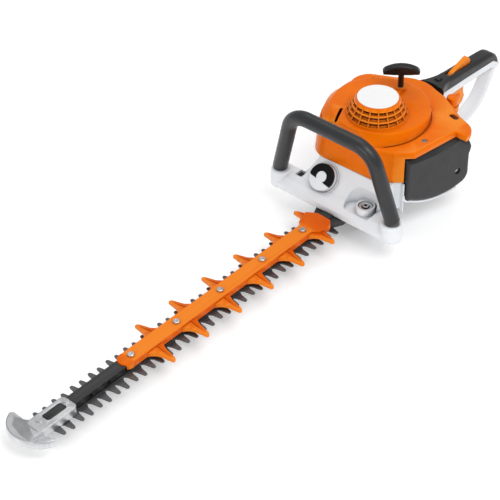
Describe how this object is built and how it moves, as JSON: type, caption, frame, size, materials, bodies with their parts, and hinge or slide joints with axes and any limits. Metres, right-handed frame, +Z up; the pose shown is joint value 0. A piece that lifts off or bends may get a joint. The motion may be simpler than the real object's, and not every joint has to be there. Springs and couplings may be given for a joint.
{
  "type": "hedge trimmer",
  "caption": "Petrol hedge trimmer with a long double-sided reciprocating blade, wrap-round front handle, rear loop handle and pull starter.",
  "frame": {"origin": "where the vertical crankshaft axis meets the standing surface under the gearbox", "axes": "-Y is forward to the blade tip, +Y is the rear handle, +X is the air-filter side, +Z is up"},
  "size_m": [0.259, 1.094, 0.2186],
  "materials": {
    "cast_dark": "matt dark paint on a casting",
    "cast_light": "as-cast, finely rough",
    "zinc_screws": "zinc plated",
    "bearing_bronze": "sintered, oiled",
    "gear_steel": "ground, oiled",
    "blade_steel": "dark ground blade steel",
    "bar_black": "satin black",
    "bolt_steel": "bright, slightly worn",
    "orange_guard": "satin moulding",
    "black_rubber": "matt",
    "black_plastic": "fine grained",
    "muffler_steel": "heat stained",
    "filter_paper": "pleated paper",
    "orange_plastic": "smooth moulding",
    "white_plastic": "satin moulding",
    "handle_steel": "black coat",
    "grip_black": "satin",
    "label_white": "blank film",
    "rope": "braided"
  },
  "bodies": {
    "chassis": {"gear_housing": "cast_dark", "gear_cover": "cast_dark", "cover_screws": "zinc_screws", "gear_bearings": "bearing_bronze", "guide_bar": "bar_black", "guide_bolts": "bolt_steel", "guide_nuts": "bolt_steel", "tooth_guard": "orange_guard", "tip_guard": "cast_light", "tip_screws": "bolt_steel", "crankcase": "cast_light", "crank_bearings": "bearing_bronze", "connecting_rod": "gear_steel", "piston": "cast_light", "piston_pin": "gear_steel", "cylinder": "cast_light", "spark_plug": "bolt_steel", "plug_boot": "black_rubber", "ignition_module": "black_plastic", "muffler": "muffler_steel", "carburettor": "cast_light", "filter_base": "black_plastic", "air_filter": "filter_paper", "filter_cover": "black_plastic", "front_housing": "white_plastic", "av_mounts": "black_rubber", "handle_tube": "handle_steel", "handle_sleeve": "grip_black", "shroud": "orange_plastic", "shroud_screws": "zinc_screws", "starter_cover": "orange_plastic", "label_disc": "label_white", "rope_bush": "bolt_steel", "recoil_spring": "gear_steel", "rear_handle": "white_plastic", "rear_grip": "black_plastic", "lever_pins": "bolt_steel", "throttle_cable": "black_rubber"},
    "crankshaft": {"crankshaft": "gear_steel", "big_end_bearing": "bearing_bronze", "clutch_shoes": "gear_steel", "flywheel": "cast_light"},
    "clutch_drum": {"clutch_drum": "gear_steel"},
    "drive_gear": {"drive_gear": "gear_steel", "drive_cams": "gear_steel"},
    "upper_blade": {"upper_blade": "blade_steel", "upper_yoke": "gear_steel"},
    "lower_blade": {"lower_blade": "blade_steel", "lower_yoke": "gear_steel"},
    "fuel_cap": {"fuel_cap": "white_plastic"},
    "cap_grip": {"cap_grip": "black_plastic"},
    "starter_pulley": {"starter_pulley": "black_plastic", "rope_windings": "rope"},
    "starter_grip": {"starter_grip": "grip_black", "starter_rope": "rope"},
    "filter_screw": {"filter_screw": "bolt_steel"},
    "choke_knob": {"choke_knob": "orange_plastic"},
    "throttle_trigger": {"throttle_trigger": "orange_plastic"},
    "lockout_lever": {"lockout_lever": "orange_plastic"},
    "stop_switch": {"stop_switch": "black_plastic"}
  },
  "joints": [
    {"name": "crank_spin", "type": "hinge", "parent": "chassis", "child": "crankshaft", "pos_m": [0, 0, 0.1], "axis": [0, 0, 1], "continuous": true},
    {"name": "gear_spin", "type": "hinge", "parent": "chassis", "child": "drive_gear", "pos_m": [0, -0.0459, 0.04], "axis": [0, 0, 1], "continuous": true},
    {"name": "drum_spin", "type": "hinge", "parent": "chassis", "child": "clutch_drum", "pos_m": [0, 0, 0.048], "axis": [0, 0, 1], "continuous": true},
    {"name": "upper_blade_slide", "type": "slide", "parent": "chassis", "child": "upper_blade", "axis": [0, 1, 0], "range_m": [0, 0.018]},
    {"name": "lower_blade_slide", "type": "slide", "parent": "chassis", "child": "lower_blade", "axis": [0, 1, 0], "range_m": [-0.018, 0]},
    {"name": "fuel_cap_turn", "type": "hinge", "parent": "chassis", "child": "fuel_cap", "pos_m": [-0.031, -0.09218, 0.08359], "axis": [0, -0.7605, 0.6494], "range_deg": [0, 90]},
    {"name": "cap_grip_fold", "type": "hinge", "parent": "fuel_cap", "child": "cap_grip", "pos_m": [-0.03169, -0.09824, 0.08358], "axis": [0.9848, -0.1128, -0.1321], "range_deg": [0, 88]},
    {"name": "starter_pull", "type": "slide", "parent": "chassis", "child": "starter_grip", "axis": [0, 0, 1], "range_m": [0, 0.6]},
    {"name": "pulley_spin", "type": "hinge", "parent": "chassis", "child": "starter_pulley", "pos_m": [0, 0, 0.181], "axis": [0, 0, 1], "range_deg": [0, 1400]},
    {"name": "filter_screw_turn", "type": "hinge", "parent": "chassis", "child": "filter_screw", "pos_m": [0.11249, 0.06112, 0.083], "axis": [0.9669, -0.2553, 0], "range_deg": [0, 1080]},
    {"name": "choke_turn", "type": "hinge", "parent": "chassis", "child": "choke_knob", "pos_m": [0.046, 0.137, 0.145], "axis": [0, 0, 1], "range_deg": [-60, 0]},
    {"name": "trigger_pull", "type": "hinge", "parent": "chassis", "child": "throttle_trigger", "pos_m": [0, 0.196, 0.124], "axis": [1, 0, 0], "range_deg": [0, 10], "stiffness_Nm_per_rad": 0.6, "springref_deg": -17.19},
    {"name": "lockout_press", "type": "hinge", "parent": "chassis", "child": "lockout_lever", "pos_m": [0, 0.192, 0.14], "axis": [1, 0, 0], "range_deg": [-8, 0], "stiffness_Nm_per_rad": 0.4, "springref_deg": 17.19},
    {"name": "stop_press", "type": "slide", "parent": "chassis", "child": "stop_switch", "axis": [0, 0, -1], "range_m": [0, 0.0022], "stiffness_N_per_m": 300, "springref_m": -0.001}
  ],
  "couplings": [
    {"joint": "drum_spin", "follows": "gear_spin", "ratio": -4.5455},
    {"joint": "lower_blade_slide", "follows": "upper_blade_slide", "ratio": -1},
    {"joint": "pulley_spin", "follows": "starter_pull", "rad_per_m": 40}
  ]
}
